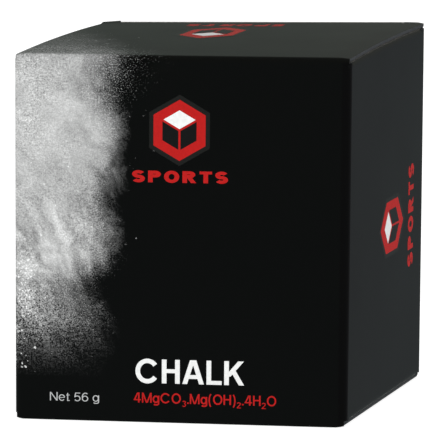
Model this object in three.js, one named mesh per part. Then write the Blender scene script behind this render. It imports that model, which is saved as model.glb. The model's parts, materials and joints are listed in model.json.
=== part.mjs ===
// A gymnastics chalk block in its carton: a pressed cube of magnesium carbonate in a clear
// overwrap, inside a reverse-tuck-end box of folded paperboard.
// Millimetres, +Z up. The origin is at the centre of the carton's base. The front faces -Y.
import * as THREE from 'three';

// ---------------------------------------------------------------- driving dimensions
const WIDTH = 54;           // outside of the carton along X
const DEPTH = 56.5;         // outside of the carton along Y
const HEIGHT = 58;          // outside of the carton along Z
const BOARD = 0.5;          // paperboard thickness
const GAP = 0.3;            // clearance between pieces that lie against each other
const CREASE = 0.5;         // flat board stops this far from the axis of a folding crease

const LID_INSET = 0.2;      // the lid's cut side edges stand just inside the side walls
const STUB = 3;             // flat corner stubs beside the slits of the tuck crease
const SLIT = 0.5;           // width of those slits
const TUCK_DEPTH = 11;      // from the tuck crease to the flap's free edge
const TUCK_ROUND = 4;       // radius of the tuck flap's two free corners
const TOE_IN = THREE.MathUtils.degToRad(8);   // the tuck flap leans in, off the wall it slides past

const DUST_LENGTH = 24;     // from the side crease to the dust flap's free edge
const DUST_START = 1;       // set-back of the flap from the lid's crease, at the side crease
const DUST_TAPER = 0.6;     // further set-back for each millimetre of flap length
const DUST_BACK = 2;        // room left for the tuck flap between dust flap and wall
const DUST_SLOPE = 2;       // how much the other edge narrows towards the free edge
const DUST_ROUND = 3;       // radius of the dust flap's free corners

const GLUE_FLAP_WIDTH = 11;
const GLUE_FLAP_END = 6;    // set-back of the glue flap's ends from the carton's ends
const GLUE_FLAP_TAPER = 3;  // the ends slope this much across the flap
const GLUE_THICKNESS = 0.1;
const GLUE_CLEAR = 0.05;    // air on each side of the dried glue
const GLUE_WIDTH = 5;

const FILM = 0.15;          // overwrap film, with its folds pressed flat
const BLOCK_HEIGHT = 52;
const BLOCK_EDGE = 1.2;     // bevel on every edge of the pressed block

// ---------------------------------------------------------------- derived places
const half = { x: WIDTH / 2, y: DEPTH / 2, z: HEIGHT / 2 };
const lidAxisY = -half.y + BOARD / 2;
const lidAxisZ = half.z - BOARD / 2;                    // from the carton's centre
const tuckAxisY = half.y - BOARD - GAP - BOARD / 2;
const dustAxisX = half.x - BOARD / 2;
const dustAxisZ = half.z - BOARD - GAP - BOARD / 2;     // from the carton's centre

const glueX = -half.x + BOARD + GLUE_CLEAR + GLUE_THICKNESS / 2;
const glueFlapX = glueX + GLUE_THICKNESS / 2 + GLUE_CLEAR + BOARD / 2;
const tuckReach = TUCK_DEPTH * Math.sin(TOE_IN) + BOARD + GAP;
const inner = {
  left: glueFlapX + BOARD / 2 + GAP,
  right: half.x - BOARD - GAP,
  y: half.y - BOARD - GAP - tuckReach,
  floor: 2 * (BOARD + GAP),
};
const filmWidth = inner.right - inner.left;
const filmCentreX = (inner.right + inner.left) / 2;
const filmDepth = 2 * inner.y;
const skin = FILM + GAP;                                // film and the air under it
const blockBase = inner.floor + skin;

// ---------------------------------------------------------------- materials
function standard(color, roughness) {
  return new THREE.MeshStandardMaterial({ color, roughness, metalness: 0 });
}
const blackBoard = () => standard(0x111312, 0.45);
const rawBoard = () => standard(0xc9c3b4, 0.9);
const pressedChalk = () => standard(0xf3f3ef, 0.95);
const driedGlue = () => standard(0xe2dcc4, 0.4);
function clearFilm() {
  const material = standard(0xeef2f4, 0.12);
  material.transparent = true;
  material.opacity = 0.3;
  return material;
}

// ---------------------------------------------------------------- shape helpers
function named(name, geometry, material) {
  const mesh = new THREE.Mesh(geometry, material);
  mesh.name = name;
  return mesh;
}

// A slab of the given thickness around the z = 0 plane.
function slab(shape, thickness) {
  const geometry = new THREE.ExtrudeGeometry(shape, {
    depth: thickness, bevelEnabled: false, curveSegments: 6,
  });
  return geometry.translate(0, 0, -thickness / 2);
}

function polygon(points) {
  return new THREE.Shape(points.map(([x, y]) => new THREE.Vector2(x, y)));
}

function rectangle(width, depth) {
  const [x, y] = [width / 2, depth / 2];
  return polygon([[-x, -y], [x, -y], [x, y], [-x, y]]);
}

function boardBox(name, size, centre, material = blackBoard()) {
  const mesh = named(name, new THREE.BoxGeometry(...size), material);
  mesh.position.set(...centre);
  return mesh;
}

// ---------------------------------------------------------------- carton walls
// A front or back wall ends short of the crease that carries a lid, and its other end is cut
// square, flush with the end of the carton.
function wallWithLid(name, y, lidAtTop) {
  const creased = BOARD / 2 + CREASE;
  const height = HEIGHT - creased;
  const z = lidAtTop ? height / 2 : creased + height / 2;
  return boardBox(name, [WIDTH, BOARD, height], [0, y, z]);
}

function sideWall(name, x) {
  const creased = half.z - dustAxisZ + CREASE;
  const size = [BOARD, DEPTH - 2 * (BOARD + GAP), HEIGHT - 2 * creased];
  return boardBox(name, size, [x, 0, half.z]);
}

// The glue flap folds off the back wall and lies inside the left wall.
function glueFlap() {
  const low = GLUE_FLAP_END - half.z;
  const near = half.y - BOARD - GAP;
  const far = near - GLUE_FLAP_WIDTH;
  const shape = polygon([
    [near, low], [near, -low], [far, -low - GLUE_FLAP_TAPER], [far, low + GLUE_FLAP_TAPER],
  ]);
  const mesh = named('glue_flap', slab(shape, BOARD), rawBoard());
  mesh.rotation.set(Math.PI / 2, 0, Math.PI / 2, 'ZYX');
  mesh.position.set(glueFlapX, 0, half.z);
  return mesh;
}

function glueLine() {
  const length = HEIGHT - 2 * (GLUE_FLAP_END + GLUE_FLAP_TAPER);
  const y = half.y - BOARD - GAP - GLUE_FLAP_WIDTH / 2;
  const size = [GLUE_THICKNESS, GLUE_WIDTH, length];
  return boardBox('glue_line', size, [glueX, y, half.z], driedGlue());
}

// ---------------------------------------------------------------- one end closure
// Built for the top, around the carton's centre. Turned half a turn about X it is the bottom one.
function lidShape() {
  const x = half.x - LID_INSET;
  const stubX = x - STUB;
  const end = tuckAxisY - lidAxisY;
  const stubEnd = end + BOARD / 2;
  return polygon([
    [-x, CREASE], [x, CREASE], [x, stubEnd], [stubX, stubEnd], [stubX, end - CREASE],
    [-stubX, end - CREASE], [-stubX, stubEnd], [-x, stubEnd],
  ]);
}

function lid(name) {
  const mesh = named(name, slab(lidShape(), BOARD), blackBoard());
  mesh.position.set(0, lidAxisY, lidAxisZ);
  return mesh;
}

function tuckShape() {
  const x = half.x - LID_INSET - STUB - SLIT;
  const shape = new THREE.Shape();
  shape.moveTo(x, -CREASE);
  shape.lineTo(-x, -CREASE);
  shape.lineTo(-x, -TUCK_DEPTH + TUCK_ROUND);
  shape.absarc(-x + TUCK_ROUND, -TUCK_DEPTH + TUCK_ROUND, TUCK_ROUND, Math.PI, 1.5 * Math.PI);
  shape.lineTo(x - TUCK_ROUND, -TUCK_DEPTH);
  shape.absarc(x - TUCK_ROUND, -TUCK_DEPTH + TUCK_ROUND, TUCK_ROUND, 1.5 * Math.PI, 2 * Math.PI);
  shape.closePath();
  return shape;
}

function tuckFlap(name) {
  const mesh = named(name, slab(tuckShape(), BOARD), blackBoard());
  mesh.rotation.x = Math.PI / 2 - TOE_IN;
  mesh.position.set(0, tuckAxisY, lidAxisZ);
  return mesh;
}

// Outline measured from the side crease inwards and from the lid's crease backwards. The taper
// keeps the flap below the lid while both swing up, the flap at 0.6 of the lid's angle.
function dustShape(inwards) {
  const back = half.y - BOARD - DUST_BACK - lidAxisY;
  const front = (u) => DUST_START + DUST_TAPER * u;
  const tip = DUST_LENGTH;
  const round = DUST_ROUND;
  const shape = new THREE.Shape();
  shape.moveTo(inwards * CREASE, front(CREASE));
  shape.lineTo(inwards * (tip - round), front(tip - round));
  shape.quadraticCurveTo(inwards * tip, front(tip), inwards * tip, front(tip) + round);
  shape.lineTo(inwards * tip, back - DUST_SLOPE - round);
  shape.quadraticCurveTo(
    inwards * tip, back - DUST_SLOPE,
    inwards * (tip - round), back - DUST_SLOPE * (tip - round) / tip,
  );
  shape.lineTo(inwards * CREASE, back);
  shape.closePath();
  return shape;
}

function dustFlap(name, side) {
  const mesh = named(name, slab(dustShape(-side), BOARD), blackBoard());
  mesh.position.set(side * dustAxisX, lidAxisY, dustAxisZ);
  return mesh;
}

function closure(end) {
  const pieces = new THREE.Group();
  pieces.add(lid(`${end}_lid`), tuckFlap(`${end}_tuck_flap`));
  pieces.add(dustFlap(`${end}_left_dust_flap`, -1), dustFlap(`${end}_right_dust_flap`, 1));
  pieces.position.z = half.z;
  if (end === 'bottom') pieces.rotation.x = Math.PI;
  return pieces;
}

// ---------------------------------------------------------------- chalk and its overwrap
function chalkBlock() {
  const [x, y] = [filmWidth / 2 - skin, inner.y - skin];
  const e = BLOCK_EDGE;
  const shape = polygon([
    [-x + e, -y], [x - e, -y], [x, -y + e], [x, y - e],
    [x - e, y], [-x + e, y], [-x, y - e], [-x, -y + e],
  ]);
  const geometry = new THREE.ExtrudeGeometry(shape, {
    depth: BLOCK_HEIGHT - 2 * e, bevelThickness: e, bevelSize: e, bevelOffset: -e, bevelSegments: 1,
  });
  const mesh = named('chalk_block', geometry, pressedChalk());
  mesh.position.set(filmCentreX, 0, blockBase + e);
  return mesh;
}

function filmSleeve() {
  const shape = rectangle(filmWidth, filmDepth);
  shape.holes.push(rectangle(filmWidth - 2 * FILM, filmDepth - 2 * FILM));
  const mesh = named('film_sleeve', slab(shape, BLOCK_HEIGHT), clearFilm());
  mesh.position.set(filmCentreX, 0, blockBase + BLOCK_HEIGHT / 2);
  return mesh;
}

function filmFold(name, z) {
  const mesh = named(name, slab(rectangle(filmWidth, filmDepth), FILM), clearFilm());
  mesh.position.set(filmCentreX, 0, z);
  return mesh;
}

// ---------------------------------------------------------------- assembly
const chalkBox = new THREE.Group();
chalkBox.add(
  wallWithLid('front_wall', -half.y + BOARD / 2, true),
  wallWithLid('back_wall', half.y - BOARD / 2, false),
  sideWall('left_wall', -dustAxisX),
  sideWall('right_wall', dustAxisX),
  glueFlap(),
  glueLine(),
  closure('top'),
  closure('bottom'),
  chalkBlock(),
  filmSleeve(),
  filmFold('film_bottom_fold', inner.floor + FILM / 2),
  filmFold('film_top_fold', blockBase + BLOCK_HEIGHT + GAP + FILM / 2),
);

export default chalkBox;
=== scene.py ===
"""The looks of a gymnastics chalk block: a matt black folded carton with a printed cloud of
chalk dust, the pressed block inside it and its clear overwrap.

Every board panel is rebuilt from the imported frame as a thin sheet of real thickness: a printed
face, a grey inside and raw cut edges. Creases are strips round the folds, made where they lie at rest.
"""

import json
import math

import bpy
import bmesh
from mathutils import Matrix, Vector, noise
from mathutils.geometry import delaunay_2d_cdt

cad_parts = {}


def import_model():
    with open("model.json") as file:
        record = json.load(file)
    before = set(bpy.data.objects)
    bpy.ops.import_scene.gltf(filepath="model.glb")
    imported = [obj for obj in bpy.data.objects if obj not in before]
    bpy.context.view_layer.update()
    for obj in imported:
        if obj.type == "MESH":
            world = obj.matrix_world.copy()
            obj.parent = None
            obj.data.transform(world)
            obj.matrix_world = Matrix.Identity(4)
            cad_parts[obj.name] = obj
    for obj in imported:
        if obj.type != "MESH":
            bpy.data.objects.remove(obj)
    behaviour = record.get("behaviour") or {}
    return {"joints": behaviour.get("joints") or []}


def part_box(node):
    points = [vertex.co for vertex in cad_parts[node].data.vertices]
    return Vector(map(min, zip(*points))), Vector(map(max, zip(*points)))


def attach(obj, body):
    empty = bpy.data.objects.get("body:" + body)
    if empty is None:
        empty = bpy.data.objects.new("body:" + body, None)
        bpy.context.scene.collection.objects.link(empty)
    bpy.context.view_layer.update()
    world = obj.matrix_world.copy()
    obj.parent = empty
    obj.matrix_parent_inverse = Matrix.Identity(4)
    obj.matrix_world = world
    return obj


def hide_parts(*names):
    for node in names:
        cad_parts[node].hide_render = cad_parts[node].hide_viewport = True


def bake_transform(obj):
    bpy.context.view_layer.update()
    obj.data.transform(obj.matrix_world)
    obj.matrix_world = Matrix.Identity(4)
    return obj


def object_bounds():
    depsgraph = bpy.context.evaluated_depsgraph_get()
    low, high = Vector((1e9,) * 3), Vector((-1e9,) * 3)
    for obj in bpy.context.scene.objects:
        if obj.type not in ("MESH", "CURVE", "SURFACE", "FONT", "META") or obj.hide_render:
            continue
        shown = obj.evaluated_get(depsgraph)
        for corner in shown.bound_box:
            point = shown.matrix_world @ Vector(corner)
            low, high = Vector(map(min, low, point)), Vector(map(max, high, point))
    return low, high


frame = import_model()
CAD_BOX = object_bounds()
MM = 0.001

# ---- sizes from the frame
HIGH = CAD_BOX[1]
HALF_X = HIGH.x
HALF_Y = HIGH.y
HEIGHT = HIGH.z
CENTRE = Vector((0.0, 0.0, HEIGHT / 2))
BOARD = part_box("front_wall")[1].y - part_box("front_wall")[0].y
AXIS = {j["name"]: Vector(j["pos_m"]) for j in frame["joints"]}
LID_AXIS = AXIS["top_lid_crease"]
TUCK_AXIS = AXIS["top_tuck_crease"]
DUST_AXIS = AXIS["top_right_dust_crease"]
LID_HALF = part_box("top_lid")[1].x
TUCK_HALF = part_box("top_tuck_flap")[1].x
DUST_TIP = DUST_AXIS.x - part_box("top_right_dust_flap")[0].x
DUST_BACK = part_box("top_right_dust_flap")[1].y

# ---- how the board is folded
CREASE = 0.5 * MM          # the fold's curve starts this far from the crease's axis
FLAT = 0.8 * MM            # flat run that a crease strip adds on each side of its curve
REACH = CREASE + FLAT      # where the flat panels take over from the strip
CORNER = 1.25 * MM         # radius of the middle of the board round a vertical edge
GLUE_FOLD = 0.8 * MM
STUB = 3.0 * MM            # flat corner stubs of the lid, beside the slits
STUB_LIFT = 0.25 * MM      # the top lid's left stub stands up a little, the right one less
CORNER_TOP = 0.9 * MM      # raw edge at the corners, below the top of the lid
STRIP_INSET = 0.35 * MM    # a lid's crease starts this much narrower than the lid
BASE_INSET = 0.35 * MM     # the bottom lid is cut this much narrower on each side
TOE_IN = math.radians(8)
TUCK_ROUND = 4.0 * MM
DUST_ROUND = 3.0 * MM
DUST_START = 1.0 * MM
DUST_TAPER = 0.6
DUST_SLOPE = 2.0 * MM
CELL = 3.0 * MM            # longest cell of a board's mesh
TOUCH = 1e-7               # two lengths nearer than this are the same, apart from rounding

FLARE = 0.011              # a packed carton is this much wider at its top than at its base
LEAN = 0.83 * MM           # and its top stands this far to the right of its base
WARP = 0.15 * MM           # lift of the lid's back right corner
TILT = 0.22 * MM           # its right edge stands higher than its left by twice this
ARCH = 0.40 * MM           # and the dust flaps under it push it up between its folds
BULGE = 0.16 * MM          # how far the middle of a wall stands out
DROOP = 0.22 * MM          # how far a lid's side edges sink towards the dust flaps
DROOP_WIDTH = 1.8 * MM


def smoothstep(t):
    t = min(1.0, max(0.0, t))
    return t * t * (3 - 2 * t)


def settle(p):
    """Where a point of the ideal carton lies on the real one, which is a little out of true."""
    up = p.z / HEIGHT - 0.5
    across = p.x / HALF_X
    deep = p.y / HALF_Y
    level = 2 * up
    wall = 1 - level ** 2
    x = p.x * (1 + FLARE * up) + LEAN * up + BULGE * across ** 7 * (1 - deep ** 2) * wall
    y = p.y + BULGE * deep ** 7 * (1 - across ** 2) * wall
    z = p.z + (up + 0.5) * (WARP * deep + TILT) * across
    z += (up + 0.5) ** 6 * ARCH * max(0.0, 1 - deep ** 2)
    in_lid = smoothstep((abs(p.z - HEIGHT / 2) - HEIGHT / 2 + 2 * BOARD) / BOARD)
    at_side = smoothstep((abs(p.x) - HALF_X + DROOP_WIDTH) / DROOP_WIDTH)
    return Vector((x, y, z - math.copysign(DROOP, level) * in_lid * at_side))


def stations(*stops):
    """Values through all the stops in order, with steps of at most one cell."""
    values = [stops[0]]
    for a, b in zip(stops, stops[1:]):
        n = max(1, math.ceil(abs(b - a) / CELL))
        values += [a + (b - a) * k / n for k in range(1, n + 1)]
    return values


def object_from(name, bm, materials):
    mesh = bpy.data.meshes.new(name)
    bm.to_mesh(mesh)
    bm.free()
    for material in materials:
        mesh.materials.append(material)
    made = bpy.data.objects.new(name, mesh)
    bpy.context.scene.collection.objects.link(made)
    return made


def board(name, grid, art, materials, present=None, thickness=BOARD):
    """A sheet of board around the middle surface grid[i][j], as one closed mesh.

    The printed face looks away from the carton's centre. art[i][j] is the print's place, and
    None where nothing is printed. present(i, j) says which cells exist: panels have notches.
    """
    ni, nj = len(grid), len(grid[0])
    points = [[settle(p) for p in column] for column in grid]
    art = art or [[(0.0, 0.0)] * nj for _ in grid]
    present = present or (lambda i, j: True)
    cells = {(i, j) for i in range(ni - 1) for j in range(nj - 1) if present(i, j)}

    def normal(i, j):
        du = points[min(i + 1, ni - 1)][j] - points[max(i - 1, 0)][j]
        dv = points[i][min(j + 1, nj - 1)] - points[i][max(j - 1, 0)]
        return du.cross(dv).normalized()

    normals = [[normal(i, j) for j in range(nj)] for i in range(ni)]
    outward = sum(normals[i][j].dot(points[i][j] - CENTRE) for i, j in cells)
    side = 1 if outward > 0 else -1

    bm = bmesh.new()
    uv = bm.loops.layers.uv.new("art")
    corner = {}

    def vertex(i, j, face):
        key = (i, j, face)
        if key not in corner:
            offset = side * face * thickness / 2
            corner[key] = bm.verts.new(points[i][j] + normals[i][j] * offset)
        return corner[key]

    def quad(keys, material, smooth):
        made = bm.faces.new([vertex(*k) for k in keys])
        made.material_index = material
        made.smooth = smooth
        for loop, (i, j, _) in zip(made.loops, keys):
            loop[uv].uv = art[i][j]

    for i, j in sorted(cells):
        ring = [(i, j), (i + 1, j), (i + 1, j + 1), (i, j + 1)]
        if side < 0:
            ring.reverse()
        quad([(*k, 1) for k in ring], 0, True)
        quad([(*k, -1) for k in reversed(ring)], 1, True)
        for a, b in zip(ring, ring[1:] + ring[:1]):
            middle = ((a[0] + b[0]) / 2 - i, (a[1] + b[1]) / 2 - j)
            step = (round(2 * middle[0] - 1), round(2 * middle[1] - 1))
            if (i + step[0], j + step[1]) not in cells:
                quad([(*b, 1), (*a, 1), (*a, -1), (*b, -1)], 2, False)
    for edge in bm.edges:
        edge.smooth = len({face.material_index for face in edge.link_faces}) == 1
    return object_from(name, bm, materials)


# ---- node materials
class Graph:
    """Short names for building the nodes of a new material, or of a tree that is there already."""

    def __init__(self, name, tree=None):
        if tree is None:
            self.material = bpy.data.materials.new(name)
            self.material.use_nodes = True
            tree = self.material.node_tree
            self.shader = tree.nodes["Principled BSDF"]
        self.tree = tree

    def node(self, kind, **settings):
        made = self.tree.nodes.new(kind)
        for key, value in settings.items():
            setattr(made, key, value)
        return made

    def feed(self, socket, source):
        if isinstance(source, bpy.types.NodeSocket):
            self.tree.links.new(source, socket)
        else:
            socket.default_value = source

    def math(self, operation, *sources, clamp=False):
        made = self.node("ShaderNodeMath", operation=operation, use_clamp=clamp)
        for socket, source in zip(made.inputs, sources):
            self.feed(socket, source)
        return made.outputs[0]

    def product(self, first, *others):
        for other in others:
            first = self.math("MULTIPLY", first, other)
        return first

    def smooth(self, value, low, high, to_low=0.0, to_high=1.0):
        made = self.node("ShaderNodeMapRange", interpolation_type="SMOOTHSTEP")
        for name, source in (("Value", value), ("From Min", low), ("From Max", high),
                             ("To Min", to_low), ("To Max", to_high)):
            self.feed(made.inputs[name], source)
        return made.outputs["Result"]

    def noise(self, vector, size, detail=2.0, roughness=0.5):
        made = self.node("ShaderNodeTexNoise")
        self.feed(made.inputs["Vector"], vector)
        made.inputs["Scale"].default_value = 1 / size
        made.inputs["Detail"].default_value = detail
        made.inputs["Roughness"].default_value = roughness
        return made.outputs["Fac"]

    def stirred(self, place, size, detail, reach):
        """place pushed sideways by a noise, each coordinate by up to reach."""
        push = self.node("ShaderNodeTexNoise")
        self.feed(push.inputs["Vector"], place)
        push.inputs["Scale"].default_value = 1 / size
        push.inputs["Detail"].default_value = detail
        moved = self.node("ShaderNodeVectorMath", operation="MULTIPLY_ADD")
        self.feed(moved.inputs[0], push.outputs["Color"])
        moved.inputs[1].default_value = (reach, reach, 0.0)
        self.feed(moved.inputs[2], place)
        return moved.outputs[0]

    def mix(self, share, a, b):
        made = self.node("ShaderNodeMix", data_type="RGBA")
        self.feed(made.inputs[0], share)
        self.feed(made.inputs[6], a)
        self.feed(made.inputs[7], b)
        return made.outputs[2]

    def curve(self, value, points):
        """A smooth curve through (place, height) points, both from 0 to 1."""
        made = self.node("ShaderNodeFloatCurve")
        line = made.mapping.curves[0]
        for point, (x, y) in zip(line.points, (points[0], points[-1])):
            point.location = (x, y)
        for x, y in points[1:-1]:
            line.points.new(x, y)
        made.mapping.update()
        self.feed(made.inputs["Value"], value)
        return made.outputs[0]

    def surface(self, color, roughness, height=None, depth=0.0, strength=1.0):
        self.feed(self.shader.inputs["Base Color"], color)
        self.feed(self.shader.inputs["Roughness"], roughness)
        if height is not None:
            bump = self.node("ShaderNodeBump")
            bump.inputs["Strength"].default_value = strength
            bump.inputs["Distance"].default_value = depth
            self.feed(bump.inputs["Height"], height)
            self.feed(self.shader.inputs["Normal"], bump.outputs["Normal"])
        return self.material


def art_place(graph):
    """The print's coordinates in millimetres on the unfolded sheet."""
    return graph.node("ShaderNodeUVMap", uv_map="art").outputs["UV"]


def solid_place(graph):
    """Object coordinates in millimetres."""
    found = graph.node("ShaderNodeTexCoord").outputs["Object"]
    scale = graph.node("ShaderNodeVectorMath", operation="SCALE")
    graph.feed(scale.inputs[0], found)
    scale.inputs["Scale"].default_value = 1 / MM
    return scale.outputs[0]


# Where the dust cloud's right edge lies, and how bright the cloud is, by height on the sheet:
# the front wall is 0 to 58 mm and the lid goes on from there. (height, mm from the middle)
CLOUD_EDGE = ((0, -19), (9, -19), (14, -18), (17.5, -19), (20.5, -20), (24, -16.5), (27, -14.5),
              (30, -13.5), (35.5, -14), (39, -13), (42, -12.3), (47, -12.3), (51, -13.6), (55, -14),
              (60, -12), (68, -15), (78, -18.5), (88, -23), (100, -29), (112, -34))
CLOUD_LIGHT = ((0, 0), (7, 0.0), (9, 0.01), (11.5, 0.06), (14, 0.14), (17, 0.28), (20, 0.38),
               (23, 0.46), (28, 0.50), (32, 0.54), (36, 0.49), (44, 0.52), (51, 0.52), (55.5, 0.46),
               (57.6, 0.42), (59.5, 0.22), (66, 0.16), (78, 0.09), (92, 0.04), (112, 0))
SHEET_TOP = 112.0
EDGE_SPAN = 40.0                   # the curve of the edge's places runs from -40 to 0 mm
STREAK_SLANT = math.radians(-58)
STREAK_STRETCH = 2.8
LEFT_FADE = (-52.0, -26.0)         # the cloud thins out round the corner, on the left wall
FLECK_CELL = 0.55


def laminate():
    """Black film-laminated print, with the cloud of chalk dust.

    u and v are the print's place in millimetres, and so are the sizes of the noises. A smooth
    step runs from its first number to its second, and its last two, if any, are what it gives.
    """
    g = Graph("laminate")
    place = art_place(g)
    split = g.node("ShaderNodeSeparateXYZ")
    g.feed(split.inputs[0], place)
    u, v = split.outputs["X"], split.outputs["Y"]

    height = g.math("DIVIDE", v, SHEET_TOP, clamp=True)
    edge = g.curve(height, [(y / SHEET_TOP, 1 + x / EDGE_SPAN) for y, x in CLOUD_EDGE])
    edge = g.math("MULTIPLY_ADD", edge, EDGE_SPAN, -EDGE_SPAN)
    light = g.curve(height, [(y / SHEET_TOP, b) for y, b in CLOUD_LIGHT])

    # Wisps: the cloud's shape is stirred, and its lower half falls away in slanting streaks.
    stirred = g.stirred(place, 7.0, 3.0, 7.0)
    slanted = g.node("ShaderNodeMapping", vector_type="TEXTURE")
    g.feed(slanted.inputs["Vector"], stirred)
    slanted.inputs["Rotation"].default_value = (0.0, 0.0, STREAK_SLANT)
    slanted.inputs["Scale"].default_value = (STREAK_STRETCH, 1.0, 1.0)
    streak = g.noise(slanted.outputs[0], 2.6, 5, 0.6)
    swirl = g.math("MULTIPLY_ADD", g.noise(stirred, 6.0, 5, 0.6), 6.0, -3.0)
    swirl = g.math("ADD", swirl, g.math("MULTIPLY_ADD", streak, 5.0, -2.5))
    inside = g.math("ADD", g.math("SUBTRACT", edge, u), swirl)
    width = g.smooth(v, 30.0, 20.0, 4.6, 8.0)
    body = g.smooth(inside, g.math("MULTIPLY", width, -1.0), width)
    ragged = g.math("MULTIPLY_ADD", g.noise(stirred, 9.0, 4, 0.6), 16.0, u)
    left_fade = g.smooth(ragged, *LEFT_FADE)
    billow = g.smooth(g.noise(stirred, 8.0, 5, 0.6), 0.28, 0.72, 0.78, 1.2)
    low_part = g.smooth(v, 40.0, 24.0, 0.12, 0.5)
    banding = g.product(g.smooth(streak, 0.3, 0.7, -1.0, 1.0), low_part)
    dust = g.product(light, body, g.math("ADD", billow, banding), left_fade)

    # Grain: stronger where the cloud is loose, near the left edge, at its foot and on the lid.
    grain = g.math("SUBTRACT", g.noise(place, 0.26, 2, 0.7), 0.5)
    clump = g.math("SUBTRACT", g.noise(place, 0.6, 2, 0.6), 0.5)
    speckle = g.math("MULTIPLY_ADD", grain, 2.2, clump)
    coarse = g.product(
        g.smooth(g.noise(place, 9.0, 2, 0.5), 0.38, 0.62, 0.6, 1.4), g.smooth(u, -19.0, -26.0, 1.0, 1.5),
        g.smooth(v, 57.5, 60.0, 1.0, 2.6), g.smooth(v, 26.0, 17.0, 1.0, 1.9))
    spread = g.math("SQRT", g.math("MULTIPLY", dust, 0.22))
    dust = g.math("MULTIPLY_ADD", g.product(speckle, coarse), spread, dust)

    # Loose grains thin out beyond the cloud's edge, most of all at the top.
    reach = g.math("ADD", g.smooth(v, 46.0, 57.0, 4.5, 15.0), g.smooth(v, 30.0, 23.0, 0.0, 6.0))
    cover = g.smooth(g.math("ADD", inside, reach), 0.0, reach)
    cover = g.product(cover, left_fade, g.smooth(light, 0.0, 0.25))
    bar = g.math("MULTIPLY_ADD", cover, -0.32, 0.86)
    fine = g.math("MULTIPLY_ADD", g.noise(place, 0.24, 3, 0.85), 1.9, -0.45)
    flour = g.smooth(fine, bar, g.math("ADD", bar, 0.12))
    loose = g.math("MULTIPLY_ADD", body, -0.30, g.smooth(cover, 0.0, 0.15, 0.0, 0.40))
    dust = g.math("MULTIPLY_ADD", flour, loose, dust)

    # Separate bright flecks of many sizes, crowded at the left near the cloud's foot.
    cells = g.node("ShaderNodeTexVoronoi", voronoi_dimensions="2D")
    g.feed(cells.inputs["Vector"], g.stirred(place, 0.4, 2.0, 0.9))
    cells.inputs["Scale"].default_value = 1 / FLECK_CELL
    cell = g.node("ShaderNodeSeparateColor")
    g.feed(cell.inputs[0], cells.outputs["Color"])
    halo = g.product(g.smooth(inside, -11.0, 1.0), g.smooth(v, 8.0, 14.0), left_fade)
    chance = g.product(halo, g.smooth(g.noise(place, 2.5, 3, 0.7), 0.44, 0.72, 0.0, 0.6))
    foot = g.product(
        g.smooth(u, -20.0, -26.0), g.smooth(v, 5.0, 11.0), g.smooth(u, -37.0, -29.0),
        g.smooth(v, 30.0, 25.0), g.smooth(g.noise(place, 2.6, 1, 0.5), 0.38, 0.54, 0.0, 0.6))
    present = g.math("LESS_THAN", cell.outputs["Red"], g.math("ADD", chance, foot))
    size = g.math("MULTIPLY_ADD", g.math("POWER", cell.outputs["Green"], 4.0), 0.26, 0.07)
    size = g.math("MULTIPLY_ADD", foot, 0.28, size)
    fleck = g.smooth(cells.outputs["Distance"], g.math("MULTIPLY", size, 0.3), size, 1.0, 0.0)
    bright = g.math("MULTIPLY_ADD", cell.outputs["Blue"], 0.38, g.math("ADD", foot, 0.08))
    dust = g.math("ADD", dust, g.product(fleck, present, bright), clamp=True)

    color = g.mix(dust, (0.0004, 0.0003, 0.0002, 1), (0.96, 0.97, 0.965, 1))
    orange_peel = g.noise(place, 1.3, 2, 0.5)
    sheen = g.math("MULTIPLY_ADD", g.noise(place, 14.0, 3, 0.6), 0.08, LAMINATE_ROUGH - 0.04)
    return g.surface(color, sheen, orange_peel, 0.006 * MM, 0.35)


def paper(name, color, dark, rough, grain):
    """Uncoated board: flecked, fibrous and matt."""
    g = Graph(name)
    place = solid_place(g)
    fibre = g.noise(place, grain, 4, 0.65)
    fleck = g.smooth(g.noise(place, grain * 0.4, 2, 0.6), 0.62, 0.72)
    tone = g.mix(g.smooth(fibre, 0.3, 0.7), dark, color)
    tone = g.mix(g.math("MULTIPLY", fleck, 0.35), tone, [c * 0.5 for c in dark[:3]] + [1])
    return g.surface(tone, rough, fibre, 0.03 * MM, 0.6)


def ink(name, color):
    """Printed ink under the laminate, with the faint mottle of a printed solid."""
    g = Graph(name)
    place = solid_place(g)
    mottle = g.smooth(g.noise(place, 0.5, 3, 0.6), 0.3, 0.7, 0.0, 1.0)
    dark = [c * 0.9 for c in color[:3]] + [1]
    peel = g.noise(place, 1.3, 2, 0.5)
    return g.surface(g.mix(mottle, dark, color), LAMINATE_ROUGH, peel, 0.006 * MM, 0.35)


def pressed_chalk():
    """Compacted powder: soft mottle, fine grains, pores darkened with painted shade, and faint press
    marks.
    """
    g = Graph("pressed_chalk")
    place = solid_place(g)
    cloud = g.smooth(g.noise(place, 6.0, 4, 0.6), 0.3, 0.7)
    grain = g.noise(place, 0.35, 3, 0.7)
    pores_and_shade = g.smooth(g.noise(place, 0.9, 2, 0.5), 0.28, 0.36)
    tone = g.mix(cloud, (0.80, 0.80, 0.775, 1), (0.88, 0.88, 0.865, 1))
    # The pores are painted darker than the chalk around them: painted shade in the hollows, besides
    # their bump.
    tone = g.mix(pores_and_shade, (0.60, 0.60, 0.575, 1), tone)
    height = g.math("MULTIPLY_ADD", grain, 0.5, pores_and_shade)
    return g.surface(tone, 0.95, height, 0.12 * MM, 0.8)


def clear_film():
    """Polypropylene overwrap: nearly invisible face on, with a slightly uneven gloss."""
    g = Graph("clear_film")
    place = solid_place(g)
    tone = g.mix(g.noise(place, 3.0, 2, 0.5), (0.86, 0.89, 0.92, 1), (0.95, 0.97, 0.98, 1))
    rough = g.smooth(g.noise(place, 2.0, 3, 0.6), 0.3, 0.7, 0.06, 0.16)
    g.shader.inputs["Alpha"].default_value = 0.2
    return g.surface(tone, rough, g.noise(place, 1.8, 3, 0.6), 0.2 * MM, 0.5)


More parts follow.
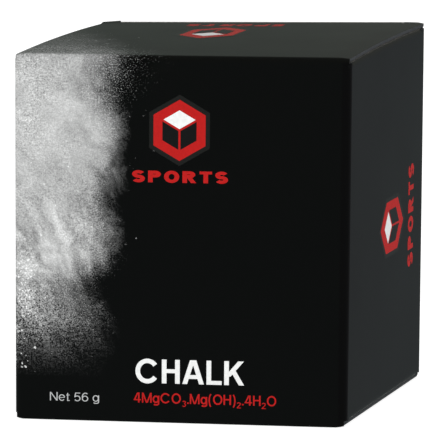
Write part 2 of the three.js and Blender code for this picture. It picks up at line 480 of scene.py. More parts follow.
def dried_glue():
    g = Graph("dried_glue")
    place = solid_place(g)
    tone = g.mix(g.noise(place, 0.8, 3, 0.6), (0.62, 0.56, 0.40, 1), (0.78, 0.73, 0.58, 1))
    return g.surface(tone, 0.35, g.noise(place, 0.5, 3, 0.6), 0.05 * MM, 0.8)


LAMINATE_ROUGH = 0.24
PRINT = laminate()
INSIDE = paper("board_inside", (0.66, 0.64, 0.59, 1), (0.52, 0.50, 0.455, 1), 0.9, 0.5)
# The cut edges' dark colour is lifted and tinted blue: a painted highlight standing in for the glint
# along the lid's right edge.
RAW_EDGE_AND_GLINT = paper("board_cut_edge_and_painted_glint", (0.050, 0.056, 0.062, 1), (0.022, 0.025, 0.028, 1), 0.9, 0.25)
BOARD_MATERIALS = [PRINT, INSIDE, RAW_EDGE_AND_GLINT]
INKS = {name: ink(name + "_ink", color) for name, color in (
    ("red", (0.53, 0.002, 0.001, 1)), ("white", (0.93, 0.94, 0.93, 1)), ("pale", (0.55, 0.56, 0.56, 1)),
    ("dark_grey", (0.011, 0.011, 0.010, 1)), ("black", (0.006, 0.006, 0.006, 1)))}


# ---- the carton's sleeve
BACK_FOLD_X = -HALF_X + BOARD + 0.45 * MM      # middle of the glue flap, inside the left wall
WALL_X = HALF_X - BOARD / 2                    # middles of the walls
WALL_Y = HALF_Y - BOARD / 2
LID_REACH_Z = LID_AXIS.z - REACH
SIDE_REACH_Z = DUST_AXIS.z - REACH
CORNER_Z = HEIGHT - CORNER_TOP
GLUE_LOW, GLUE_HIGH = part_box("glue_flap")
GLUE_TAPER = 3.0 * MM
STRIP_CUT = LID_HALF - STRIP_INSET             # half width of a lid's crease, on the wall
LEFT_FOLD_CUT = BACK_FOLD_X + 0.2 * MM         # the bottom lid's crease starts on the glue fold
DUST_NEAR = -WALL_Y + DUST_START + DUST_TAPER * CREASE


def arc_points(centre, radius, start, stops):
    """Points on a quarter turn in plan, at angles in degrees from its start."""
    return [(centre[0] + radius * math.cos(math.radians(start + a)),
             centre[1] + radius * math.sin(math.radians(start + a))) for a in stops]


def plan_path():
    """The sleeve in plan, from the left wall's free edge round to the glue flap's edge.

    Each entry is (x, y, low, high): the board spans low to high from there to the next entry.
    """
    bend_x, bend_y = WALL_X - CORNER, WALL_Y - CORNER
    cut = math.degrees(math.asin((STRIP_CUT - bend_x) / CORNER))
    corner_stops = (0, cut / 2, cut, cut + 18, cut + 37, 90)
    fold_x, fold_y = BACK_FOLD_X + GLUE_FOLD, WALL_Y - GLUE_FOLD
    fold_cut = math.degrees(math.asin((fold_x - LEFT_FOLD_CUT) / GLUE_FOLD))
    path = []

    def side(x, start, end):
        inner_edges = sorted((-DUST_BACK, DUST_BACK, DUST_NEAR, -DUST_NEAR))
        stops = [start] + sorted((y for y in inner_edges if min(start, end) < y < max(start, end)),
                                 reverse=end < start) + [end]
        line = stations(*stops)
        for a, b in zip(line, line[1:]):
            middle = (a + b) / 2
            high = SIDE_REACH_Z if DUST_NEAR < middle < DUST_BACK else CORNER_Z
            low = HEIGHT - (SIDE_REACH_Z if -DUST_BACK < middle < -DUST_NEAR else CORNER_Z)
            path.append((x, a, low, high))

    def corner(centre, start, front, reverse):
        stops = [90 - a for a in reversed(corner_stops)] if reverse else corner_stops
        points = arc_points(centre, CORNER, start, stops)
        for k, (x, y) in enumerate(points[:-1]):
            creased = abs((x + points[k + 1][0]) / 2) < STRIP_CUT
            if not creased:
                low, high = HEIGHT - CORNER_Z, CORNER_Z
            elif front:
                low, high = 0.0, LID_REACH_Z
            else:
                low, high = HEIGHT - LID_REACH_Z, HEIGHT
            path.append((x, y, low, high))

    side(-WALL_X, WALL_Y - 0.1 * MM, -bend_y)
    corner((-bend_x, -bend_y), 180, True, True)
    path.extend((x, -WALL_Y, 0.0, LID_REACH_Z) for x in stations(-bend_x, bend_x)[:-1])
    corner((bend_x, -bend_y), 270, True, False)
    side(WALL_X, -bend_y, bend_y)
    corner((bend_x, bend_y), 0, False, True)
    path.extend((x, WALL_Y, HEIGHT - LID_REACH_Z, HEIGHT) for x in stations(bend_x, fold_x)[:-1])
    fold_stops = (0, fold_cut / 2, fold_cut, fold_cut + 20, 90)
    for k, (x, y) in enumerate(arc_points((fold_x, fold_y), GLUE_FOLD, 90, fold_stops)[:-1]):
        span = (HEIGHT - LID_REACH_Z, HEIGHT) if k < 2 else (GLUE_LOW.z, GLUE_HIGH.z)
        path.append((x, y, *span))
    path.extend((BACK_FOLD_X, y, GLUE_LOW.z, GLUE_HIGH.z) for y in stations(fold_y, GLUE_LOW.y))
    return path, fold_y


def sleeve():
    path, fold_y = plan_path()
    around = [0.0]
    for a, b in zip(path, path[1:]):
        around.append(around[-1] + math.hypot(b[0] - a[0], b[1] - a[1]))
    first_front = next(k for k, p in enumerate(path) if abs(p[1] + WALL_Y) < TOUCH)
    shift = path[first_front][0] - around[first_front]
    levels = stations(0.0, HEIGHT - CORNER_Z, HEIGHT - LID_REACH_Z, HEIGHT - SIDE_REACH_Z,
                      GLUE_LOW.z, GLUE_HIGH.z, SIDE_REACH_Z, LID_REACH_Z, CORNER_Z, HEIGHT)
    half_flap = (GLUE_HIGH.z - GLUE_LOW.z) / 2
    flap_run = fold_y - GLUE_LOW.y

    def place(x, y, z):
        on_flap = abs(x - BACK_FOLD_X) < TOUCH and y <= fold_y
        if on_flap:
            share = (fold_y - y) / flap_run
            z = HEIGHT / 2 + (z - HEIGHT / 2) * (1 - GLUE_TAPER / half_flap * share)
        return Vector((x, y, z))

    grid = [[place(x, y, z) for z in levels] for x, y, _, _ in path]
    art = [[((s + shift) / MM, z / MM) for z in levels] for s in around]

    def present(i, j):
        middle = (levels[j] + levels[j + 1]) / 2
        return path[i][2] < middle < path[i][3]

    piece = board("carton_sleeve", grid, art, BOARD_MATERIALS, present)
    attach(piece, "carton")
    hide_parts("front_wall", "back_wall", "left_wall", "right_wall", "glue_flap")


sleeve()


# ---- creases
def fold_path(axis, into, out_of):
    """Points across a crease, from REACH before its axis to REACH after it, round a smooth arc."""
    turn = into.angle(out_of)
    radius = CREASE / math.tan(turn / 2)
    inward = (out_of - into * into.dot(out_of)).normalized()
    centre = axis - into * CREASE + inward * radius
    steps = 12
    points = [axis - into * (CREASE + FLAT * k / 2) for k in (2, 1)]
    for k in range(steps + 1):
        angle = turn * k / steps
        points.append(centre - inward * (radius * math.cos(angle)) + into * (radius * math.sin(angle)))
    points += [axis + out_of * (CREASE + FLAT * k / 2) for k in (1, 2)]
    return points


def crease(name, bodies, axis, along, into, out_of, near_ends, far_ends, art, bow=None):
    """A strip of board round a crease between two bodies, made where it lies at rest: it does not bend
    with them, and bodies is not used.

    near_ends and far_ends are the strip's limits along the crease, where it starts and ends.
    art(place along, share across) is the print's place. bow(place) is how far the wall that
    the strip grows out of falls back there: the fold is squeezed into what is left.
    """
    path = fold_path(axis, into, out_of)
    run = [0.0]
    for a, b in zip(path, path[1:]):
        run.append(run[-1] + (b - a).length)
    shares = [r / run[-1] for r in run]
    length = near_ends[1] - near_ends[0]
    margin = 1.6 * MM / length
    count = max(2, math.ceil(length / CELL))
    lines = sorted({0.0, margin / 3, 2 * margin / 3, margin, 1 - margin, 1 - 2 * margin / 3,
                    1 - margin / 3, 1.0} | {margin + (1 - 2 * margin) * k / count
                                            for k in range(1, count)})
    grid, prints = [], []
    for t in lines:
        back = bow(near_ends[0] + length * t) if bow else 0.0
        column, marks = [], []
        for point, share in zip(path, shares):
            low = near_ends[0] + (far_ends[0] - near_ends[0]) * share
            high = near_ends[1] + (far_ends[1] - near_ends[1]) * share
            at = low + (high - low) * t
            depth = (point - axis).dot(out_of)
            column.append(point + along * at + out_of * back * (1 - depth / REACH))
            marks.append(art(at, share))
        grid.append(column)
        prints.append(marks)
    piece = board(name, grid, prints, BOARD_MATERIALS)
    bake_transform(piece)


def rounded_wall(x):
    """How far a wall's rounded vertical edge falls back at x."""
    beyond = abs(x) - (WALL_X - CORNER)
    return CORNER - math.sqrt(CORNER ** 2 - beyond ** 2) if beyond > 0 else 0.0


def rounded_back_wall(x):
    """The same for the back wall, whose left edge folds into the glue flap."""
    if x > 0:
        return rounded_wall(x)
    beyond = min(-x + BACK_FOLD_X + GLUE_FOLD, GLUE_FOLD)
    return GLUE_FOLD - math.sqrt(GLUE_FOLD ** 2 - beyond ** 2) if beyond > 0 else 0.0


# ---- the two end closures
class Closure:
    """A lid with its tuck flap and two dust flaps. The bottom one is the top one turned half a
    turn about X, so every point is worked out for the top and then turned."""

    def __init__(self, end):
        self.end = end
        self.top = end == "top"

    def turn(self, point):
        return point if self.top else Vector((point.x, -point.y, HEIGHT - point.z))

    def turn_direction(self, d):
        return d if self.top else Vector((d.x, -d.y, -d.z))

    def mark(self, u, v):
        """The print's place, in metres in and millimetres out. The bottom lid hangs off the
        back wall, well away from the cloud."""
        return (u / MM, v / MM) if self.top else (110 - u / MM, (HEIGHT - v) / MM - 5)

    def panel(self, name, body, node, grid, marks, present=None):
        grid = [[self.turn(p) for p in column] for column in grid]
        piece = board(f"{self.end}_{name}", grid, marks, BOARD_MATERIALS, present)
        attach(piece, f"{self.end}_{body}")
        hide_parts(f"{self.end}_{node}")

    def crease(self, name, bodies, axis, along, into, out_of, near_ends, far_ends, art, bow=None):
        return crease(
            f"{self.end}_{name}", [b.format(end=self.end) for b in bodies], self.turn(axis),
            along, self.turn_direction(into), self.turn_direction(out_of),
            near_ends, far_ends, art, bow)

    def lid(self):
        edge = TUCK_AXIS.y - REACH
        stub_end = TUCK_AXIS.y + BOARD / 2
        start = LID_AXIS.y + REACH
        half = LID_HALF if self.top else LID_HALF - BASE_INSET
        xs = stations(-half, -half + STUB, -TUCK_HALF, TUCK_HALF, half - STUB, half)
        ys = stations(start, edge, edge + 0.7 * MM, stub_end)
        grid, marks = [], []
        for x in xs:
            lift = (STUB_LIFT if x < 0 else STUB_LIFT / 4) if self.top else 0.0
            grid.append([Vector((x, y, LID_AXIS.z + lift * smoothstep((y - edge) / (stub_end - edge))))
                         for y in ys])
            marks.append([self.mark(x, HEIGHT + y - LID_AXIS.y) for y in ys])

        def present(i, j):
            return ys[j] < edge - TOUCH or abs(xs[i] + xs[i + 1]) / 2 > half - STUB

        self.panel("lid_panel", "lid", "lid", grid, marks, present)
        up, back = Vector((0, 0, 1)), Vector((0, 1, 0))
        near = (-STRIP_CUT, STRIP_CUT) if self.top else (LEFT_FOLD_CUT, STRIP_CUT)
        far = HEIGHT + REACH
        self.crease(
            "lid_crease", ("carton", "{end}_lid"), LID_AXIS, Vector((1, 0, 0)), up, back,
            near, (-half, half),
            lambda at, share: self.mark(at, LID_REACH_Z + (far - LID_REACH_Z) * share),
            rounded_wall if self.top else rounded_back_wall)

    def tuck_flap(self):
        down = Vector((0, -math.sin(TOE_IN), -math.cos(TOE_IN)))
        depth = (LID_AXIS.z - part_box("top_tuck_flap")[0].z) / math.cos(TOE_IN) - BOARD * 0.07
        flat = TUCK_HALF - TUCK_ROUND
        bend = [flat + TUCK_ROUND * math.sin(math.radians(a)) for a in (18, 36, 54, 72, 90)]
        xs = [-x for x in reversed(bend)] + stations(-flat, flat) + bend
        shares = [k / 5 for k in range(6)]
        grid, marks = [], []
        lid_v = HEIGHT + TUCK_AXIS.y - LID_AXIS.y
        for x in xs:
            beyond = max(0.0, abs(x) - flat)
            end = depth - TUCK_ROUND + math.sqrt(max(0.0, TUCK_ROUND ** 2 - beyond ** 2))
            runs = [REACH + (end - REACH) * t for t in shares]
            grid.append([TUCK_AXIS + down * r + Vector((x, 0, 0)) for r in runs])
            marks.append([self.mark(x, lid_v + r) for r in runs])
        self.panel("tuck_panel", "tuck", "tuck_flap", grid, marks)
        self.crease(
            "tuck_crease", ("{end}_lid", "{end}_tuck"), TUCK_AXIS, Vector((1, 0, 0)),
            Vector((0, 1, 0)), down, (-TUCK_HALF, TUCK_HALF), (-TUCK_HALF, TUCK_HALF),
            lambda at, share: self.mark(at, lid_v - REACH + 2 * REACH * share))

    def dust_flap(self, side):
        """side is -1 for the left flap and 1 for the right one."""
        word = "left" if side < 0 else "right"
        axis = Vector((side * DUST_AXIS.x, 0, DUST_AXIS.z))
        tip, turn = DUST_TIP, DUST_ROUND

        def front(u):
            return -WALL_Y + DUST_START + DUST_TAPER * u

        def back(u):
            return DUST_BACK - DUST_SLOPE * u / tip

        def bezier(a, b, c, t):
            return (1 - t) ** 2 * a + 2 * (1 - t) * t * b + t ** 2 * c

        columns = [(u, front(u), back(u)) for u in stations(REACH, tip - turn)]
        for t in (0.2, 0.4, 0.6, 0.8, 1.0):
            columns.append((
                bezier(tip - turn, tip, tip, t),
                bezier(front(tip - turn), front(tip), front(tip) + turn, t),
                bezier(back(tip - turn), back(tip), back(tip) - turn, t)))
        rows = [k / 17 for k in range(18)]
        corner_side = side * (WALL_X - CORNER * (2 - math.pi / 2))

        def mark(u, y):
            return self.mark(corner_side + side * (y + WALL_Y), DUST_AXIS.z + u)

        grid = [[axis + Vector((-side * u, low + (high - low) * t, 0)) for t in rows]
                for u, low, high in columns]
        marks = [[mark(u, low + (high - low) * t) for t in rows] for u, low, high in columns]
        self.panel(f"{word}_dust_panel", f"{word}_dust", f"{word}_dust_flap", grid, marks)
        ends_near = (DUST_NEAR, DUST_BACK)
        ends_far = (front(REACH), back(REACH))
        if not self.top:
            ends_near, ends_far = [(-b, -a) for a, b in (ends_near, ends_far)]
        self.crease(
            f"{word}_dust_crease", ("carton", "{end}_" + word + "_dust"), axis,
            Vector((0, 1, 0)), Vector((0, 0, 1)), Vector((-side, 0, 0)), ends_near, ends_far,
            lambda at, share: mark(2 * REACH * share - REACH, at))


for end in ("top", "bottom"):
    closure = Closure(end)
    closure.lid()
    closure.tuck_flap()
    closure.dust_flap(-1)
    closure.dust_flap(1)


# ---- print: letters and badge
def ring_arc(cx, cy, rx, ry, start, end, steps=14):
    """Points on an elliptical arc, angles in degrees."""
    angles = [math.radians(start + (end - start) * k / steps) for k in range(steps + 1)]
    return [(cx + rx * math.cos(a), cy + ry * math.sin(a)) for a in angles]


def stroke(points, width):
    """The outline of a line of the given width with square ends and mitred bends."""
    left, right = [], []
    for k, p in enumerate(points):
        a = points[max(0, k - 1)]
        b = points[min(len(points) - 1, k + 1)]
        d1 = Vector((p[0] - a[0], p[1] - a[1]))
        d2 = Vector((b[0] - p[0], b[1] - p[1]))
        d1, d2 = (d1 if d1.length else d2).normalized(), (d2 if d2.length else d1).normalized()
        tangent = (d1 + d2).normalized()
        reach = width / 2 / max(0.4, tangent.dot(d1))
        side = Vector((-tangent.y, tangent.x)) * reach
        left.append((p[0] + side.x, p[1] + side.y))
        right.append((p[0] - side.x, p[1] - side.y))
    return right + left[::-1]


def slant(x0, y0, x1, y1, stem):
    """A leaning stroke whose ends are cut level."""
    half = stem / 2 * math.hypot(x1 - x0, y1 - y0) / abs(y1 - y0)
    shape = [(x0 - half, y0), (x0 + half, y0), (x1 + half, y1), (x1 - half, y1)]
    return shape if y1 > y0 else shape[::-1]


WIDTHS = {"C": 0.95, "H": 0.71, "A": 0.86, "L": 0.60, "K": 0.80, "M": 0.92, "N": 0.76, "O": 0.88,
          "P": 0.74, "R": 0.80, "S": 0.74, "T": 0.72, "e": 0.62, "t": 0.34, "g": 0.62, "2": 0.64,
          "3": 0.64, "4": 0.68, "5": 0.64, "6": 0.64, "(": 0.34, ")": 0.34}


def glyph(letter, s):
    """The outlines of one letter. The capitals' height is 1 and s is the stem's width."""
    w = WIDTHS.get(letter)
    h = s / 2
    bar = 0.88 * s

    def box(x0, y0, x1, y1):
        return [(x0, y0), (x1, y0), (x1, y1), (x0, y1)]

    def arc(*args):
        return stroke(ring_arc(*args), s)

    def ring(cx, cy, rx, ry, steps):
        return [arc(cx, cy, rx, ry, a, a + 190, steps) for a in (0, 180)]

    stem = box(0, 0, s, 1)
    if letter == "C":
        return [arc(w / 2, 0.5, w / 2 - h, 0.52 - h, 36, 324, 24)]
    if letter == "H":
        middle = box(h, 0.52 - bar / 2, w - h, 0.52 + bar / 2)
        return [stem, box(w - s, 0, w, 1), middle]
    if letter == "A":
        sides = [slant(x, 0, top, 1, s * 0.98) for x, top in
                 ((h * 1.05, w / 2 - 0.03), (w - h * 1.05, w / 2 + 0.03))]
        return sides + [box(w * 0.24, 0.22, w * 0.76, 0.22 + bar)]
    if letter == "L":
        return [stem, box(0, 0, w, bar)]
    if letter == "K":
        return [stem, slant(s * 0.75, 0.36, w - h * 1.5, 1, s * 0.95),
                slant(w - h * 1.25, 0, w * 0.42, 0.62, s * 0.98)]
    if letter == "M":
        return [box(0, 0, s * 0.92, 1), box(w - s * 0.92, 0, w, 1),
                slant(w / 2 - h * 0.3, 0, h * 1.1, 1, s * 0.9),
                slant(w / 2 + h * 0.3, 0, w - h * 1.1, 1, s * 0.9)]
    if letter == "N":
        return [stem, box(w - s, 0, w, 1), slant(w - h * 1.2, 0, h * 1.2, 1, s)]
    if letter == "O":
        return ring(w / 2, 0.5, w / 2 - h, 0.52 - h, 18)
    if letter == "P":
        mid, turn = 0.42 + h, w * 0.55
        bowl = ring_arc(turn, (1 - h + mid) / 2, w * 0.45 - h, (1 - h - mid) / 2, 80, -80, 10)
        return [stem, stroke([(h, 1 - h), (turn, 1 - h)] + bowl + [(turn, mid), (h, mid)], s)]
    if letter == "R":
        return glyph("P", s) + [slant(w - h * 1.15, 0, w * 0.50, 0.46, s)]
    if letter == "S":
        top, low = (1.5 + 0.02 - h) / 2, (0.5 - 0.02 + h) / 2
        line = (ring_arc(w / 2, top, w / 2 - h, top - 0.5, 25, 250, 14)
                + ring_arc(w / 2, low, w / 2 - h, 0.5 - low, 70, -155, 14))
        return [stroke(line, s)]
    if letter == "T":
        return [box(0, 1 - bar, w, 1), box(w / 2 - h, 0, w / 2 + h, 1)]
    if letter == "e":
        return [arc(w / 2, 0.37, w / 2 - h, 0.39 - h, 2, 322, 22), box(h, 0.34, w - h, 0.34 + bar * 0.8)]
    if letter == "t":
        return [box(0.1, 0.06, 0.1 + s, 0.93), box(0, 0.73 - bar, w, 0.73), box(0.1, 0, w, bar)]
    if letter == "g":
        return ring(w / 2 - 0.02, 0.37, w / 2 - h, 0.38 - h, 14) + [
            box(w - s, -0.08, w, 0.74), arc(w / 2, -0.06, w / 2 - h, 0.20 - h, 0, -150, 12)]
    if letter == "2":
        hook = ring_arc(w / 2, 0.72, w / 2 - h, 0.29 - h, 165, -25, 12) + [(h * 1.2, s * 0.8)]
        return [stroke(hook, s), box(0, 0, w, bar)]
    if letter == "3":
        return [arc(w / 2, 0.765, w / 2 - h * 1.2, 0.25 - h, 155, -80, 12),
                arc(w / 2, 0.28, w / 2 - h, 0.30 - h, 80, -155, 12)]
    if letter == "4":
        return [slant(h * 0.9, 0.26, w * 0.58, 1, s * 0.85), box(0, 0.22, w, 0.22 + bar),
                box(w * 0.82 - s, 0, w * 0.82, 1)]
    if letter == "5":
        return [box(w * 0.16, 1 - bar, w * 0.94, 1), slant(h * 1.2, 0.46, w * 0.16 + h, 1, s),
                arc(w / 2 - 0.01, 0.32, w / 2 - h, 0.34 - h, 140, -150, 18)]
    if letter == "6":
        return ring(w / 2, 0.32, w / 2 - h, 0.34 - h, 14) + [
            arc(w / 2 + 0.04, 0.5, w / 2 - h + 0.04, 0.52 - h, 185, 52, 12)]
    if letter in "()":
        turn = (128, 232) if letter == "(" else (52, -52)
        centre = w + 0.14 if letter == "(" else -0.14
        return [stroke(ring_arc(centre, 0.40, w + 0.06, 0.80, *turn), s * 0.85)]
    if letter == ".":
        return [box(0, 0, s, s)]
    raise ValueError(letter)


def lettering(text, x0, x1, baseline, cap, stem, gap):
    """Outlines of a line of text that fills x0 to x1. An underscore lowers the next letter."""
    shapes, pen, small = [], 0.0, False
    for letter in text:
        if letter == " ":
            pen += 0.34
        elif letter == "_":
            small = True
        else:
            scale, drop = (0.60, -0.30) if small else (1.0, 0.0)
            shapes += [[(pen + x * scale, drop + y * scale) for x, y in o] for o in glyph(letter, stem)]
            pen += WIDTHS.get(letter, stem) * scale + gap
            small = False
    stretch = (x1 - x0) / (pen - gap)
    return [[(x0 + x * stretch, baseline + y * cap) for x, y in o] for o in shapes]


def badge(cx, cy, half_width, half_height):
    """A pointed hexagon with a cube in it: {ink: outlines}, from the bottom layer up."""
    def hexagon(r):
        return [(cx + r * half_width * math.sin(math.radians(60 * k)) * 1.06,
                 cy + r * half_height * math.cos(math.radians(60 * k))) for k in range(5, -1, -1)]

    outer, inner = hexagon(1.0), hexagon(0.86)
    rim = [[outer[k], outer[(k + 1) % 6], inner[(k + 1) % 6], inner[k]] for k in range(6)]
    cube = hexagon(0.60)
    middle = (cx, cy)
    # hexagon() runs anticlockwise from the upper left corner: 0 upper left, 1 lower left,
    # 2 bottom, 3 lower right, 4 upper right, 5 top.
    faces = {"left": [cube[0], cube[1], cube[2], middle], "right": [middle, cube[2], cube[3], cube[4]],
             "top": [cube[5], cube[0], middle, cube[4]]}

    def shrunk(face):
        mx, my = (sum(p[k] for p in face) / 4 for k in (0, 1))
        return [(mx + (x - mx) * 0.88, my + (y - my) * 0.88) for x, y in face]

    return {"dark_grey": rim, "red": [hexagon(0.86)],
            "black": [shrunk(faces["left"]), shrunk(faces["right"])],
            "white": [shrunk(faces["top"])]}


INK = 0.012 * MM             # thickness of one layer of print
INK_CLEAR = 0.004 * MM


def stamped(bm, shapes, color, level, place):
    """Adds the union of the outlines to bm as one flat closed layer. place maps a point."""
    corners, faces = [], []
    for shape in shapes:
        area = sum(a[0] * b[1] - b[0] * a[1] for a, b in zip(shape, shape[1:] + shape[:1]))
        shape = shape if area > 0 else shape[::-1]
        faces.append(list(range(len(corners), len(corners) + len(shape))))
        corners += [Vector(p) for p in shape]
    found, _, triangles, _, _, origins = delaunay_2d_cdt(corners, [], faces, 1, 1e-6)
    triangles = [t for t, o in zip(triangles, origins) if o]
    low, high = INK_CLEAR + level * INK, INK_CLEAR + level * INK + INK * 0.8
    used = sorted({k for t in triangles for k in t})
    top = {k: bm.verts.new(place(*found[k], high)) for k in used}
    base = {k: bm.verts.new(place(*found[k], low)) for k in used}
    edges = {(t[k], t[(k + 1) % len(t)]) for t in triangles for k in range(len(t))}
    made = []
    for t in triangles:
        made.append(bm.faces.new([top[k] for k in t]))
        made.append(bm.faces.new([base[k] for k in reversed(t)]))
    for a, b in edges:
        if (b, a) not in edges:
            made.append(bm.faces.new([top[b], top[a], base[a], base[b]]))
    for face in made:
        face.material_index = list(INKS).index(color)


def on_face(origin, across, up, outward):
    """A function from millimetres on a face to a point of the settled carton."""
    def place(x, y, lift):
        flat = origin + across * (x * MM) + up * (y * MM)
        return settle(flat) + outward * (BOARD / 2 + lift)
    return place


def printed(name, body, place, layers):
    bm = bmesh.new()
    for level, (color, shapes) in enumerate(layers):
        stamped(bm, shapes, color, level, place)
    piece = object_from(name, bm, INKS.values())
    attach(piece, body)


X, Y, Z = Vector((1, 0, 0)), Vector((0, 1, 0)), Vector((0, 0, 1))
FRONT = on_face(Vector((0, -WALL_Y, 0)), X, Z, -Y)
RIGHT = on_face(Vector((WALL_X, 0, 0)), Z, -Y, X)
LID = on_face(Vector((0, 0, LID_AXIS.z)), -X, -Y, Z)
BOLD, MEDIUM, LIGHT, WIDE = 0.185, 0.15, 0.10, 0.27
FORMULA = "4MgCO_3.Mg(OH)_2.4H_2O"


def word(name, body, face, color, text, left, right, baseline, cap, stem, gap):
    """A line of text. Its place and cap height are in millimetres on the face, and its stem and
    the gap between letters are shares of the cap height."""
    printed(name, body, face, [(color, lettering(text, left, right, baseline, cap, stem, gap))])


printed("front_badge", "carton", FRONT, list(badge(-0.1, 46.3, 5.3, 5.6).items()))
word("front_band_word", "carton", FRONT, "red", "SPORTS", -7.7, 7.75, 38.05, 1.85, WIDE, 0.18)
word("front_title", "carton", FRONT, "white", "CHALK", -7.07, 10.63, 6.25, 3.8, BOLD, 0.10)
word("front_formula", "carton", FRONT, "red", FORMULA, -7.35, 15.8, 3.1, 1.6, MEDIUM, 0.10)
word("front_contents", "carton", FRONT, "pale", "Net 56 g", -21.05, -13.0, 3.05, 1.35, LIGHT, 0.12)
printed("right_badge", "carton", RIGHT, list(badge(27.9, -3.4, 5.2, 9.8).items()))
word("right_band_word", "carton", RIGHT, "red", "SPORTS", 19.5, 36.1, -20.0, 4.0, WIDE, 0.2)
printed("lid_badge", "top_lid", LID, list(badge(3.1, -5.8, 5.5, 11.0).items()))
word("lid_band_word", "top_lid", LID, "red", "SPORTS", -5.3, 10.9, -22.5, 4.0, WIDE, 0.2)


# ---- chalk block and overwrap
def unit(seed):
    """A steady offset for noise, so that pieces don't share a pattern."""
    return Vector((seed * 13.7, seed * 7.1, seed * 3.3))


BLOCK_CUTS = 47              # cuts along each edge of the chalk block's mesh
BLOCK_EDGE = 1.4 * MM        # radius of its pressed edges


def chalk_block():
    low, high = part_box("chalk_block")
    centre, half = (low + high) / 2, (high - low) / 2
    bm = bmesh.new()
    bmesh.ops.create_cube(bm, size=2)
    bmesh.ops.subdivide_edges(bm, edges=bm.edges[:], cuts=BLOCK_CUTS, use_grid_fill=True)
    for vertex in bm.verts:
        p = Vector([c * h for c, h in zip(vertex.co, half)])
        core = Vector([max(-(h - BLOCK_EDGE), min(h - BLOCK_EDGE, c)) for c, h in zip(p, half)])
        out = p - core
        near_edge = sum(1 for c in out if abs(c) > 1e-9)
        direction = out.normalized()
        on_surface = core + direction * BLOCK_EDGE
        place = on_surface / MM
        rough = 0.05 * noise.fractal(place * 0.9, 1.0, 2.0, 4)
        press = 0.10 * noise.noise(place * 0.12 + unit(2))
        chip = 0.0
        if near_edge > 1:
            worn = noise.fractal(place * 0.32 + unit(5), 1.0, 2.0, 3)
            chip = 0.9 * max(0.0, worn - 0.18) + 0.12 * max(0.0, noise.noise(place * 1.7))
        vertex.co = settle(centre + on_surface - direction * (0.12 + chip + press * 0.5 - rough) * MM)
    for face in bm.faces:
        face.smooth = True
    piece = object_from("pressed_block", bm, [pressed_chalk()])
    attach(piece, "carton")
    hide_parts("chalk_block")


FILM = 0.06 * MM
FILM_LOW, FILM_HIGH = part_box("film_sleeve")
FILM_CENTRE = (FILM_LOW + FILM_HIGH) / 2
FILM_HALF = (FILM_HIGH - FILM_LOW) / 2
FILM_MATERIAL = clear_film()
FILM_ROWS = 30
FILM_COLUMNS = 26            # on each side
FOLD_STEPS = 24              # each way, in a folded end


def film_sheet(name, grid, replaced):
    piece = board(name, grid, None, [FILM_MATERIAL] * 3, thickness=FILM)
    for face in piece.data.polygons:
        face.use_smooth = True
    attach(piece, "carton")
    if replaced:
        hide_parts(replaced)


def film_sleeve():
    """The wrap round the block's four sides, pulled smooth with slack ripples near its folds."""
    radius = 1.3 * MM
    hx, hy = FILM_HALF.x - FILM, FILM_HALF.y - FILM
    corners = ((hx - radius, -hy + radius, 270), (hx - radius, hy - radius, 0),
               (-hx + radius, hy - radius, 90), (-hx + radius, -hy + radius, 180))
    ring = []
    for k, (cx, cy, start) in enumerate(corners):
        ring += arc_points((cx, cy), radius, start, (0, 22.5, 45, 67.5, 90))
        nx, ny, following = corners[(k + 1) % 4]
        goal = arc_points((nx, ny), radius, following, (0,))[0]
        here = ring[-1]
        shares = [t / FILM_COLUMNS for t in range(1, FILM_COLUMNS)]
        ring += [tuple(a + (b - a) * t for a, b in zip(here, goal)) for t in shares]
    ring.append(ring[0])
    levels = [FILM_LOW.z + (FILM_HIGH.z - FILM_LOW.z) * k / FILM_ROWS for k in range(FILM_ROWS + 1)]
    grid = []
    for x, y in ring:
        column = []
        for z in levels:
            end = abs(z - FILM_CENTRE.z) / FILM_HALF.z
            ripple = noise.noise(Vector((x, y, z * 0.25)) / (2.4 * MM)) * end ** 3
            slack = noise.noise(Vector((x, y, z)) / (9 * MM) + unit(1))
            shrink = 1 - 0.003 * max(0.0, ripple) - 0.0021 * max(0.0, slack)
            column.append(Vector((FILM_CENTRE.x + x * shrink, FILM_CENTRE.y + y * shrink, z)))
        grid.append(column)
    film_sheet("film_wrap", grid, "film_sleeve")


def film_end(word, node, outwards):
    """An end of the wrap: a flat inner fold under two pointed envelope flaps, sealed together."""
    low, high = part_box(node)
    base = (low.z + high.z) / 2
    hx, hy = FILM_HALF.x - 0.3 * MM, FILM_HALF.y - 0.3 * MM

    def lay(name, seed, height, limit, replaced=None):
        grid = []
        for i in range(FOLD_STEPS + 1):
            x = -hx + 2 * hx * i / FOLD_STEPS
            y0, y1 = limit(x)
            column = []
            for j in range(FOLD_STEPS + 1):
                y = y0 + (y1 - y0) * j / FOLD_STEPS
                wave = noise.noise(Vector((x, y, 0)) / (5 * MM) + unit(seed)) * 0.5
                wave += noise.noise(Vector((x, y, 0)) / (1.6 * MM) + unit(seed + 1)) * 0.2
                z = base + outwards * (height + wave * 0.1 * MM)
                column.append(Vector((FILM_CENTRE.x + x, FILM_CENTRE.y + y, z)))
            grid.append(column)
        film_sheet(name, grid, replaced)

    def flap(sign):
        """The limits of a flap that comes from one side and narrows to a blunt point."""
        def limit(x):
            reach = hy * (1.08 - 0.66 * max(0.0, abs(x) / hx - 0.35))
            return (-hy, -hy + reach) if sign < 0 else (hy - reach, hy)
        return limit

    lay(f"film_{word}_inner_fold", 3, 0.0, lambda x: (-hy, hy), node)
    lay(f"film_{word}_front_flap", 5, 0.16 * MM, flap(-1))
    lay(f"film_{word}_back_flap", 7, 0.30 * MM, flap(1))


GLUE_COLUMNS = 8
GLUE_ROWS = 40


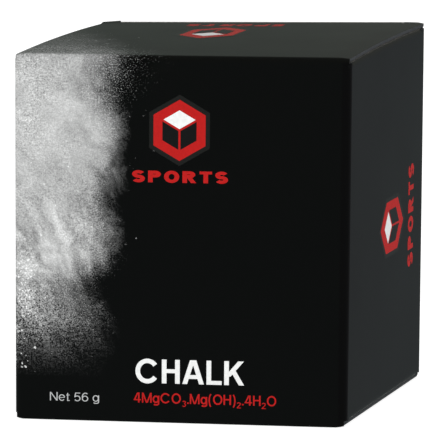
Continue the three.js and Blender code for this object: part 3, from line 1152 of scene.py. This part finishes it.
def glue_bead():
    """A flattened bead of glue with a wavy edge, between the left wall and the glue flap."""
    low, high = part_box("glue_line")
    middle, half = (low + high) / 2, (high - low) / 2
    grid = []
    for i in range(GLUE_COLUMNS + 1):
        column = []
        for j in range(GLUE_ROWS + 1):
            z = low.z + (high.z - low.z) * j / GLUE_ROWS
            width = half.y * (0.82 + 0.16 * noise.noise(Vector((0, 0, z / (4 * MM)))))
            column.append(Vector((middle.x, middle.y + width * (2 * i / GLUE_COLUMNS - 1), z)))
        grid.append(column)
    piece = board("glue_bead", grid, None, [dried_glue()] * 3, thickness=2 * half.x)
    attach(piece, "carton")
    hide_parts("glue_line")


chalk_block()
film_sleeve()
film_end("bottom", "film_bottom_fold", -1)
film_end("top", "film_top_fold", 1)
glue_bead()


# ---- floor, light and camera
FLOOR_HALF = 20.0
GLOSS_LIGHT = 0.085          # what the polished surfaces mirror: a dim studio behind the lights


def floor():
    bm = bmesh.new()
    bmesh.ops.create_grid(bm, x_segments=1, y_segments=1, size=FLOOR_HALF)
    g = Graph("light_table")
    g.shader.inputs["Base Color"].default_value = (0.35, 0.35, 0.35, 1)
    g.shader.inputs["Roughness"].default_value = 1.0
    g.shader.inputs["Emission Color"].default_value = (1, 1, 1, 1)
    g.shader.inputs["Emission Strength"].default_value = 0.85
    made = object_from("floor", bm, [g.material])
    made.location.z = -0.02 * MM
    made.visible_glossy = False


def world():
    """Even white light. What the polished board mirrors of it is dimmer, and faintly tinted."""
    made = bpy.data.worlds.new("studio")
    bpy.context.scene.world = made
    made.use_nodes = True
    g = Graph("studio", made.node_tree)

    def gloss(*tint):
        return [c * GLOSS_LIGHT for c in tint] + [1]

    towards = g.node("ShaderNodeSeparateXYZ")
    g.feed(towards.inputs[0], g.node("ShaderNodeTexCoord").outputs["Generated"])
    x, z = towards.outputs["X"], towards.outputs["Z"]
    level = g.mix(g.smooth(x, 0.18, 0.24), gloss(1.06, 1.26, 1.25), gloss(0.88, 0.91, 0.98))
    above = g.mix(g.smooth(x, -0.26, -0.18), gloss(1.02, 1.20, 1.05), gloss(1.18, 1.26, 1.14))
    mirrored = g.mix(g.smooth(z, -0.03, 0.03), level, above)
    glossy = g.node("ShaderNodeLightPath").outputs["Is Glossy Ray"]
    g.feed(g.tree.nodes["Background"].inputs["Color"], g.mix(glossy, (1, 1, 1, 1), mirrored))


def camera():
    """A long lens, a little to the right of the front and a little above the lid."""
    azimuth, elevation, roll = (math.radians(a) for a in (13.67, 7.03, -0.45))
    distance, lens = 1.146, 584.3
    back = Vector((math.sin(azimuth) * math.cos(elevation),
                   -math.cos(azimuth) * math.cos(elevation), math.sin(elevation)))
    right = Vector((math.cos(azimuth), math.sin(azimuth), 0))
    up = back.cross(right)
    aim = CENTRE - right * (0.34 * MM) - up * (0.26 * MM)
    made = bpy.data.objects.new("camera", bpy.data.cameras.new("camera"))
    bpy.context.scene.collection.objects.link(made)
    made.data.sensor_width = 36
    made.data.lens = lens
    made.data.clip_start, made.data.clip_end = 0.01, 100
    x = right * math.cos(roll) + up * math.sin(roll)
    y = back.cross(x)
    turn = Matrix((x, y, back)).transposed()
    made.matrix_world = Matrix.Translation(aim + back * distance) @ turn.to_4x4()
    bpy.context.scene.camera = made


floor()
world()
camera()
bpy.context.scene.view_settings.view_transform = "Standard"
